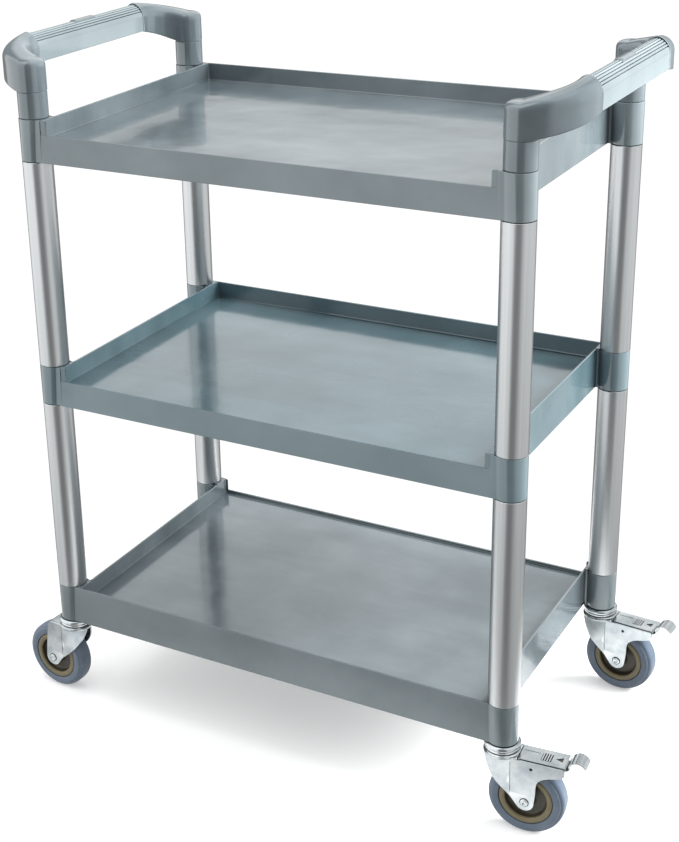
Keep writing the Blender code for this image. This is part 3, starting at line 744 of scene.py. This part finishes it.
def make_grip(side, side_x):
    """The ribbed bar, with a smooth raised pad on the middle of its top."""
    node = "handle_grip_" + side
    bm = bmesh.new()
    loops = []
    for direction, inset in ((-1, 0.0006), (-1, 0.0), (1, 0.0), (1, 0.0006)):
        y = direction * (GRIP_HALF_LENGTH - 0.0008 + inset)
        scale = 1 - inset / GRIP_HALF_WIDTH
        loops.append([(x * scale, y, GRIP_SPRING + (z - GRIP_SPRING) * scale) for x, z in grip_outline()])
    skin(bm, loops)
    pad = []
    for step in range(PAD_ROWS + 1):
        along = PAD_HALF_LENGTH * (2 * step / PAD_ROWS - 1)
        end = min(1.0, (PAD_HALF_LENGTH - abs(along)) / PAD_RAMP)
        row = []
        for turn in range(PAD_COLUMNS + 1):
            share = 2 * turn / PAD_COLUMNS - 1
            edge = min(1.0, (1 - abs(share)) / 0.2)
            across, up = crown_point(PAD_HALF_ANGLE * share, PAD_RISE * ease(end) * ease(edge) - PAD_ROOT)
            row.append((across, along, up))
        pad.append(row)
    skin(bm, pad, False, False, flat_ring=False)
    flip = Matrix.Diagonal((side_x, 1, 1, 1))
    place = Matrix.Translation((side_x * (post_x + HANDLE_REACH), 0, handle_foot)) @ flip
    make_piece(node + "_moulding", bm, "grey_plastic", "frame", [node], sharp=45, matrix=place)


# --- Casters ---
# Each is drawn about its swivel axis, with z = 0 at the tray's underside and the wheel trailing towards +X.


def make_stem(corner, place):
    """Domed cap over the race, with the king pin below it."""
    node = "caster_stem_" + corner
    dome = mm((0, -0.3), (19.5, -0.3), (21.2, -0.6), (22.6, -1.5), (23.4, -2.9), (23.6, -4.4), (23.2, -5.4))
    underside = mm((22.4, -5.8), (21.0, -5.8), (5.2, -5.6))
    pin = mm((5.2, -16.5), (8.2, -16.5), (8.3, -17.2), (7.0, -18.4), (3.0, -18.8), (0, -18.8))
    turned_piece(node + "_cap", [dome + underside + pin], "zinc", "frame", [node], 50, place, closed=False)


def make_race(corner, place):
    """Turning half of the race: a beaded ring that flares onto the yoke, with nearly black rings of painted
    shade in the gaps above and in it.
    """
    node, body = "swivel_race_" + corner, "yoke_" + corner
    bead = mm((14.0, -6.6), (20.6, -6.6), (21.6, -7.0), (22.2, -8.0), (22.2, -9.2), (21.6, -10.1))
    flare = mm((21.3, -10.8), (21.8, -11.7), (22.8, -12.5), (23.6, -12.8), (14.0, -12.8))
    turned_piece(node + "_ring", [bead + flare], "zinc", body, [node], 50, place)
    # Two thin nearly black rings in the race's gaps: painted shade.
    upper = mm((15.0, -6.0), (20.7, -6.0), (20.7, -6.7), (15.0, -6.7))
    waist = mm((18.0, -10.0), (21.9, -10.1), (21.8, -11.6), (18.0, -11.7))
    turned_piece(node + "_gap_painted_shade", [upper, waist], "painted_shade_black", body, [], 50, place)


def leg_edge(braked):
    """(along, up) outline of the leg's flat part, from its bend line down round the boss and up its back."""
    boss = arc((wheel_trail, axle_z), 0.0118, 214, 358, 14)
    if braked:
        back = mm((48.4, -60.0), (48.6, -48.0), (50.0, -41.0), (56.0, -35.0), (63.0, -32.0))
        back += [*mm((79.5, -27.5), (83.8, -23.5), (84.2, -17.5)), (0.0828, LEG_TOP)]
        return boss + rounded([boss[-1], *back, (0.030, LEG_TOP)], 0.0045, closed=False)[1:-1]
    back = [*mm((45.0, -56.0), (41.8, -30.0), (40.0, -20.0)), (0.0375, LEG_TOP)]
    return boss + rounded([boss[-1], *back, (0.020, LEG_TOP)], 0.0040, closed=False)[1:-1]


def leg_sheet(bm, braked, side):
    """One leg: a flat part, a crease, and a leading part that folds in. The braked one has a pin hole."""
    lead = [(-0.0228, LEG_TOP), *mm((-22.2, -19.0), (-20.5, -25.0), (-18.0, -31.5), (-14.8, -37.0))]
    lead += mm((-11.2, -42.5), (-7.0, -48.0), (-2.8, -52.5), (1.5, -56.5), (5.5, -60.0), (9.5, -63.3))
    fold = [(FOLD_X, mix(LEG_TOP, FOLD_END, step / 12)) for step in range(13)]
    lead += [(0.0130, -0.0662), fold[-1]]
    inwards = [0.0122, 0.0118, 0.0102, 0.0080, 0.0056, 0.0034, 0.0015, 0.0008]
    inwards += [0.0006, 0.0004, 0.0003, 0.0001, 0.0]
    hole = arc(LEVER_PIVOT, 0.0021, 0, 360, 24)[:-1] if braked else []

    def sheet(shift):
        """The leg's surface, moved shift inwards."""

        def bent(near, far, share, bend, depth=0.0):
            """A vertex share of the way from the fold to the leading edge, sunk by a depth."""
            across = shift - LEG_OUTER + bend * (0.75 * share + 0.25 * share**2) + depth
            return bm.verts.new((mix(near[0], far[0], share), across * side, mix(near[1], far[1], share)))

        grid = []
        for near, far, bend in zip(fold, lead, inwards):
            row = [bent(near, far, column / LEG_COLUMNS, bend) for column in range(LEG_COLUMNS + 1)]
            width = near[0] - far[0]
            for offset, depth in CREASE:
                creased = width > 0.004 and near[1] < LEG_TOP - 0.001
                row.insert(1, bent(near, far, offset / width, bend, depth) if creased else row[0])
            grid.append(row)
        flat = [bm.verts.new((x, (shift - LEG_OUTER) * side, z)) for x, z in leg_edge(braked)]
        ring = [bm.verts.new((x, (shift - LEG_OUTER) * side, z)) for x, z in hole]
        for near, far in zip(grid, grid[1:]):
            for column in range(len(near) - 1):
                corners = list(dict.fromkeys((near[column], near[column + 1], far[column + 1], far[column])))
                if len(corners) > 2:
                    bm.faces.new(corners)
        edges = loop_edges(bm, flat + [row[0] for row in grid]) + (loop_edges(bm, ring) if ring else [])
        bmesh.ops.triangle_fill(bm, use_beauty=True, use_dissolve=False, edges=edges)
        return [row[-1] for row in grid] + flat + list(dict.fromkeys(grid[0]))[:-1], ring

    outer, outer_ring = sheet(0.0)
    inner, inner_ring = sheet(LEG_THICKNESS)
    join_loops(bm, outer, inner)
    if hole:
        join_loops(bm, outer_ring, inner_ring)


def yoke_crown(bm, braked):
    """The yoke's top plate: round at the front, straight at the back, with the king pin's hole."""
    half, back = YOKE_CROWN_HALF, YOKE_CROWN_RADIUS if braked else 0.0372
    lead = math.degrees(math.asin(half / YOKE_CROWN_RADIUS))
    outline = arc((0, 0), YOKE_CROWN_RADIUS, lead, 360 - lead, 40)
    square = [(0.010, -half), (back, -half), (back, half), (0.010, half)]
    outline += rounded(square, 0.003, closed=False)[1:-1]
    loops = []
    for inset, z in mm((0.6, -16.2), (0.0, -15.6), (0.0, -14.2), (0.8, -13.2), (2.0, -13.0)):
        loops.append([(x * (1 - inset / 0.024), y * (1 - inset / 0.0178), z) for x, y in outline])
    rows = skin(bm, loops, close_start=False, close_end=False)
    pin_hole = []
    for rim in (rows[0], rows[-1]):
        circle = arc((0, 0), PIN_HOLE_RADIUS, 0, 360, 32)[:-1]
        ring = [bm.verts.new((x, y, rim[0].co.z)) for x, y in circle]
        edges = loop_edges(bm, rim) + loop_edges(bm, ring)
        bmesh.ops.triangle_fill(bm, use_beauty=True, use_dissolve=False, edges=edges)
        pin_hole.append(ring)
    join_loops(bm, *pin_hole)


def make_yoke(corner, place):
    """Pressed steel fork: two legs and the crown between them."""
    node = "caster_yoke_" + corner
    braked = corner in BRAKED
    bm = bmesh.new()
    for side in (1, -1):
        leg_sheet(bm, braked, side)
    yoke_crown(bm, braked)
    make_piece(node + "_pressing", bm, "zinc", "yoke_" + corner, [node], 42, bevel=0.0004, matrix=place)


def make_axle(corner, hub):
    """Riveted axle: each end is spread into a dimpled head with petals, over a nearly black ring of painted
    shade.
    """
    node, body = "axle_rivet_" + corner, "yoke_" + corner
    head = mm((4.8, 18.2), (5.0, 18.8), (4.7, 19.4), (4.0, 19.7), (3.2, 19.7), (2.7, 19.3), (1.8, 18.8))
    head += mm((0, 18.7))
    bm = bmesh.new()
    turned(bm, mirrored(head) + mm((3.8, -18.2), (3.8, 18.2)) + head, steps=48, axis="Y")
    for turn in range(PETALS):
        angle = math.tau * turn / PETALS
        centre = (0.0026 * math.cos(angle), 0.0026 * math.sin(angle))
        for end in (-0.01955, 0.01955):
            plate(bm, arc(centre, 0.0006, 18, 378, 10)[:-1], end - 0.0006, end, axis="Y")
    make_piece(node + "_pin", bm, "zinc", body, [node], 60, matrix=hub)
    # A nearly black ring round each head: painted shade under the rivet's head.
    ring = mm((4.7, 18.0), (6.0, 18.0), (5.9, 18.4), (4.7, 18.4))
    turned_piece(node + "_painted_shade_ring", [ring, mirrored(ring)], "painted_shade_black", body, [], 60, hub, "Y", steps=48)


def make_wheel_centre(corner, hub):
    """Wheel centre: a thick rim with a lip, and a deep dished web with a stepped barrel."""
    node, body = "wheel_centre_" + corner, "wheel_" + corner
    web = mm((6.4, 14.6), (9.8, 14.6), (10.4, 14.1), (10.8, 7.0), (12.0, 4.6), (15.0, 3.5), (22.5, 3.3))
    web += mm((25.0, 4.4), (26.2, 6.6), (26.6, 10.0))
    rim = mm((26.6, 10.0), (27.0, 11.8), (27.8, 12.6), (29.5, 13.0), (32.0, 13.0), (33.5, 12.7), (34.3, 12.0))
    rim += mm((34.7, 11.0))
    # The web takes the much darker copy of the wheel plastic: painted shade in the hollow.
    turned_piece(node + "_web", [web + mirrored(web)], "wheel_hollow_painted_shade", body, [node], 50, hub, "Y")
    turned_piece(node + "_rim", [rim + mirrored(rim)], "wheel_centre", body, [], 50, hub, "Y")


def make_tyre(corner, hub):
    """Tyre with full side walls, a crease at each shoulder and a crowned tread."""
    node = "tyre_" + corner
    half = mm((35.0, 12.6), (35.6, 13.1), (37.5, 13.4), (41.0, 13.5), (42.8, 13.4), (44.0, 13.0))
    half += mm((44.6, 12.2))
    half += mm((44.9, 11.3), (45.5, 11.2), (46.8, 10.8), (48.2, 9.7), (49.0, 7.9), (49.4, 5.2))
    profile = half + mm((49.5, 0.0)) + mirrored(half)
    body = "wheel_" + corner
    turned_piece(node + "_moulding", [profile], "tyre_rubber", body, [node], 60, hub, "Y", steps=128)


def make_brake_cover(corner, place):
    """Brake cover: a plate with a groove, a barred patch and a pointed slot, turned down at its edges."""
    node, body = "brake_cover_" + corner, "yoke_" + corner
    top, half = COVER_TOP, 0.0147
    start, end = 0.0245, 0.0822
    bm = bmesh.new()
    rim = rounded([(start, -half), (end, -half), (end, half), (start, half)], 0.0015)
    groove = rounded(mm((27.5, 5.2), (48.0, 5.2), (48.0, 6.2), (27.5, 6.2)), 0.0004)
    window = rounded(mm((51.0, -7.8), (63.8, -7.8), (63.8, 8.2), (51.0, 8.2)), 0.0008)
    slot = rounded(mm((68.0, 1.0), (77.0, 6.6), (77.0, -3.0)), 0.0006)
    holed_plate(bm, rim, [groove, window, slot], top - 0.0011, top)
    for y in (-half, half):
        edge = [(y, top - 0.0004), (y, top - 0.0036), (y * 0.93, top - 0.0036), (y * 0.93, top - 0.0004)]
        skin(bm, [[(x, *point) for point in edge] for x in (start, end)])
    drops = mm((-0.4, 0), (0.6, -0.3), (1.2, -1.2), (1.3, -3.8), (0.1, -3.8), (-0.4, -1.1))
    plate(bm, [(end + along, top + up) for along, up in drops], -half, half, axis="Y")
    for index in range(4):
        x = 0.0514 + 0.0031 * index
        bar = [(x + along, top + up) for along, up in mm((0, -0.8), (0.4, 0.7), (2.0, 0.7), (2.4, -0.8))]
        plate(bm, bar, -0.0080, 0.0084, axis="Y")
    make_piece(node + "_plate", bm, "zinc", body, [node], 35, bevel=0.0002, matrix=place)
    # A nearly black plate under the cover, seen through its groove, barred patch and slot: painted shade.
    bm = bmesh.new()
    plate(bm, mm((26.5, -9.0), (79.0, -9.0), (79.0, 9.0), (26.5, 9.0)), top - 0.0020, top - 0.0012)
    make_piece(node + "_painted_shade_plate", bm, "painted_shade_black", body, [], 35, matrix=place)


def lever_line():
    """(along, up) points of the lever's plate, from its root to the pedal's tip."""
    flat = [(along, LEVER_AXIS_LEVEL) for along in (0.0380, 0.0600, 0.0820)]
    rise = mm((84.8, -18.3), (87.0, -17.0), (88.0, -15.0))
    return flat + rise + arc((0.0975, -0.0160), 0.0115, 158, 22, 20)


def make_brake_lever(corner, place):
    """Brake lever with a curled, ribbed pedal and lugs that turn in the legs; nearly black discs in the legs'
    pin holes are painted shade.
    """
    node = "brake_lever_" + corner
    path = [Vector(point) for point in lever_line()]
    bm = bmesh.new()
    loops = []
    for index, point in enumerate(path):
        before, after = path[max(index - 1, 0)], path[min(index + 1, len(path) - 1)]
        heading = (after - before).normalized()
        normal = Vector((-heading.y, heading.x))
        ridge = 0.0007 if index in LEVER_RIDGES else 0.0
        half = 0.0117 if index < len(path) - 2 else 0.0105
        top, bottom = point + normal * (LEVER_HALF_THICKNESS + ridge), point - normal * LEVER_HALF_THICKNESS
        corners = ((top, -half), (top, half), (bottom, half), (bottom, -half))
        loops.append([(spot.x, across, spot.y) for spot, across in corners])
    skin(bm, loops)
    lug = rounded(mm((38.4, -18.2), (38.4, -24.7), (40.2, -26.5), (44.0, -26.5), (50.0, -18.2)), 0.0012)
    wing = rounded(mm((38.4, -19.4), (50.0, -19.4), (50.0, -18.2), (38.4, -18.2)), 0.0004)
    for side in (1, -1):
        plate(bm, lug, side * 0.0151, side * 0.0141, axis="Y")
        plate(bm, wing, side * 0.0110, side * 0.0150, axis="Y")
    make_piece(node + "_plate", bm, "zinc", "brake_" + corner, [node], 40, bevel=0.0003, matrix=place)
    # Nearly black discs that fill the pin holes: painted shade in the holes.
    bm = bmesh.new()
    for side in (1, -1):
        plate(bm, arc(LEVER_PIVOT, 0.0020, 0, 360, 24)[:-1], side * 0.0153, side * 0.0166, axis="Y")
    make_piece(node + "_painted_shade_disc", bm, "painted_shade_black", "yoke_" + corner, [], 40, matrix=place)


def make_brake_shoe(corner, place):
    """Block that the lever presses onto the tyre."""
    node = "brake_shoe_" + corner
    outline = rounded(mm((56.5, -19.9), (70.0, -19.9), (70.0, -32.0), (65.5, -31.0), (58.5, -26.4)), 0.0008)
    bm = bmesh.new()
    plate(bm, outline, -0.009, 0.009, axis="Y")
    make_piece(node + "_block", bm, "zinc", "brake_" + corner, [node], 40, bevel=0.0003, matrix=place)


def make_caster(corner):
    spin = joints["wheel_spin_" + corner]
    swivel = joints["swivel_" + corner]
    yaw = math.atan2(-spin["axis"][0], spin["axis"][1])
    place = Matrix.Translation(swivel["pos_m"]) @ Matrix.Rotation(yaw, 4, "Z")
    hub = Matrix.Translation(spin["pos_m"]) @ Matrix.Rotation(yaw, 4, "Z")
    make_stem(corner, place)
    make_race(corner, place)
    make_yoke(corner, place)
    make_axle(corner, hub)
    make_wheel_centre(corner, hub)
    make_tyre(corner, hub)
    if corner in BRAKED:
        make_brake_cover(corner, place)
        make_brake_lever(corner, place)
        make_brake_shoe(corner, place)


# --- The trolley ---

post_low, post_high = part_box("upper_post_back_right")
post_x, post_y = (post_low.x + post_high.x) / 2, (post_low.y + post_high.y) / 2
handle_foot = post_high.z + JOINT_GAP + TRAY_HEIGHT
joints = {joint["name"]: joint for joint in frame["joints"]}
turning_centre = joints["swivel_front_right"]["pos_m"]
wheel_trail = math.dist(joints["wheel_spin_front_right"]["pos_m"][:2], turning_centre[:2])
axle_z = joints["wheel_spin_front_right"]["pos_m"][2] - joints["swivel_front_right"]["pos_m"][2]


def corner_sides(corner):
    """(side_x, side_y) of a corner, each -1 or +1."""
    return (1 if corner.endswith("right") else -1, 1 if corner.startswith("back") else -1)


def build_trolley():
    make_tray("bottom_tray", 1)
    make_tray("middle_tray", -1)
    make_tray("top_tray", -1)
    for corner in CORNERS:
        make_post("lower_post_" + corner)
        make_post("upper_post_" + corner)
        make_elbow(corner)
        make_caster(corner)
    make_grip("left", -1)
    make_grip("right", 1)
    for node in frame["nodes"].values():
        if not node.hide_render:
            node.data.materials.clear()
            node.data.materials.append(MATERIALS["zinc"])


# --- Studio ---

CAMERA_AZIMUTH, CAMERA_ELEVATION, CAMERA_ROLL = 0.54259, 0.38205, -0.03515
CAMERA_PLACE = (0.9314, -1.7623, 1.2967)
CAMERA_LENS, CAMERA_SHIFT_X, CAMERA_SHIFT_Y = 84.26, 0.131, -0.0745
FLOOR_HALF_LENGTH, FLOOR_HALF_WIDTH = 1.6, 1.4


def floor_material():
    """Plain pale floor that fades out round its edge, into the pale surroundings."""
    graph = Graph("studio_floor")
    cloud = graph.noise(2.0, detail=2.0)
    tone = graph.ramp(cloud, "Fac", [(0.3, (0.70, 0.70, 0.70)), (0.7, (0.72, 0.72, 0.72))])
    graph.link(tone, "Color", graph.shader, "Base Color")
    graph.fix("Roughness", 0.7)
    graph.fix("Specular IOR Level", 0.1)
    graph.fix("Emission Color", (1.0, 1.0, 1.0, 1.0))
    graph.fix("Emission Strength", 0.34)
    fade = graph.node("TexGradient", gradient_type="SPHERICAL")
    graph.link(graph.place((1.50, 2.10, 0.0)), "Vector", fade, "Vector")
    edge = graph.ramp(fade, "Fac", [(0.0, (0, 0, 0)), (0.35, (1, 1, 1))])
    graph.link(edge, "Color", graph.shader, "Alpha")
    return graph.material


def add_floor():
    bm = bmesh.new()
    x, y = FLOOR_HALF_LENGTH, FLOOR_HALF_WIDTH
    plate(bm, rounded([(-x, -y), (x, -y), (x, y), (-x, y)], 0.6, steps=12), -0.002, 0.0)
    mesh = bpy.data.meshes.new("studio_floor")
    bm.to_mesh(mesh)
    bm.free()
    floor = bpy.data.objects.new("studio_floor", mesh)
    mesh.materials.append(floor_material())
    floor.visible_diffuse = False
    bpy.context.scene.collection.objects.link(floor)


def add_light(name, place, target, size, power):
    """An area light that is not seen as a highlight; the surroundings give the highlights."""
    light = bpy.data.lights.new(name, "AREA")
    light.shape = "RECTANGLE"
    light.size, light.size_y = size
    light.energy = power
    obj = bpy.data.objects.new(name, light)
    obj.location = place
    obj.rotation_euler = (Vector(target) - Vector(place)).to_track_quat("-Z", "Y").to_euler()
    obj.visible_glossy = False
    bpy.context.scene.collection.objects.link(obj)


def add_camera():
    """A long lens, a little above the top tray, from the front right."""
    right = Vector((math.cos(CAMERA_AZIMUTH), math.sin(CAMERA_AZIMUTH), 0))
    level = Vector((right.y, -right.x, 0))
    back = level * math.cos(CAMERA_ELEVATION) + Vector((0, 0, math.sin(CAMERA_ELEVATION)))
    up = back.cross(right)
    turn = Matrix((right, up, back)).transposed() @ Matrix.Rotation(CAMERA_ROLL, 3, "Z")
    data = bpy.data.cameras.new("camera")
    data.sensor_fit = "HORIZONTAL"
    data.sensor_width = 36
    data.lens = CAMERA_LENS
    data.shift_x = CAMERA_SHIFT_X
    data.shift_y = CAMERA_SHIFT_Y
    camera = bpy.data.objects.new("camera", data)
    camera.matrix_world = Matrix.Translation(CAMERA_PLACE) @ turn.to_4x4()
    bpy.context.scene.collection.objects.link(camera)
    bpy.context.scene.camera = camera


class Sky:
    """The studio's surroundings, as a sum of soft-edged areas of light."""

    def __init__(self):
        self.world = bpy.data.worlds.new("studio")
        self.world.use_nodes = True
        self.nodes = self.world.node_tree.nodes
        self.links = self.world.node_tree.links
        self.direction = self.nodes.new("ShaderNodeTexCoord").outputs["Generated"]
        level = self.nodes.new("ShaderNodeVectorMath")
        level.operation = "MULTIPLY"
        level.inputs[1].default_value = (1, 1, 0)
        self.links.new(self.direction, level.inputs[0])
        unit = self.nodes.new("ShaderNodeVectorMath")
        unit.operation = "NORMALIZE"
        self.links.new(level.outputs[0], unit.inputs[0])
        self.heading = unit.outputs[0]
        self.total = self.value(0.0)

    def value(self, number):
        made = self.nodes.new("ShaderNodeValue")
        made.outputs[0].default_value = number
        return made.outputs[0]

    def math(self, operation, first, second):
        made = self.nodes.new("ShaderNodeMath")
        made.operation = operation
        for socket, value in zip(made.inputs, (first, second)):
            if isinstance(value, bpy.types.NodeSocket):
                self.links.new(value, socket)
            else:
                socket.default_value = value
        return made.outputs[0]

    def toward(self, vector, start, end, level=False):
        """1 toward the vector, 0 away from it, with a soft edge between two angles from it, in degrees."""
        dot = self.nodes.new("ShaderNodeVectorMath")
        dot.operation = "DOT_PRODUCT"
        dot.inputs[1].default_value = Vector(vector).normalized()
        self.links.new(self.heading if level else self.direction, dot.inputs[0])
        ramp = self.nodes.new("ShaderNodeMapRange")
        ramp.interpolation_type = "SMOOTHSTEP"
        ramp.inputs["From Min"].default_value = math.cos(math.radians(start))
        ramp.inputs["From Max"].default_value = math.cos(math.radians(end))
        self.links.new(dot.outputs["Value"], ramp.inputs["Value"])
        return ramp.outputs["Result"]

    def add(self, amount, *masks):
        for mask in masks:
            amount = self.math("MULTIPLY", mask, amount)
        self.total = self.math("ADD", self.total, amount)

    def finish(self):
        """The camera sees plain white; the object is lit by the sum."""
        background = self.nodes["Background"]
        path = self.nodes.new("ShaderNodeLightPath")
        choose = self.nodes.new("ShaderNodeMix")
        choose.data_type = "FLOAT"
        self.links.new(path.outputs["Is Camera Ray"], choose.inputs[0])
        self.links.new(self.total, choose.inputs[2])
        choose.inputs[3].default_value = 1.05
        self.links.new(choose.outputs[0], background.inputs["Strength"])
        background.inputs["Color"].default_value = (1.0, 1.0, 1.0, 1.0)
        bpy.context.scene.world = self.world


def heading(degrees):
    """Level direction, turned from the camera's side of the object towards the right of its view."""
    angle = CAMERA_AZIMUTH - math.pi / 2 + math.radians(degrees)
    return (math.cos(angle), math.sin(angle), 0)


def build_sky():
    sky = Sky()
    raised = sky.toward((0, 0, 1), 134, 104)
    sky.add(0.19)
    sky.add(0.10, raised)
    sky.add(1.30, sky.toward(heading(-84), 56, 42, level=True), raised)
    sky.add(0.85, sky.toward(heading(72), 66, 44, level=True), raised)
    sky.add(1.00, sky.toward(heading(165), 35, 18, level=True), sky.toward((0, 0, 1), 84, 70))
    sky.add(0.55, sky.toward((0, 0, 1), 50, 25))
    sky.finish()


def build_studio():
    add_floor()
    add_camera()
    add_light("key", (1.45, 0.65, 1.25), (0.3, 0, 1.05), (1.2, 1.2), 95)
    add_light("left", (-1.5, -1.1, 1.3), (-0.3, 0, 0.8), (1.2, 1.2), 3)
    add_light("top", (0, 0.2, 3.0), (0, 0, 0.5), (2.6, 2.2), 42)
    build_sky()
    bpy.context.scene.view_settings.view_transform = "Standard"


build_trolley()
build_studio()
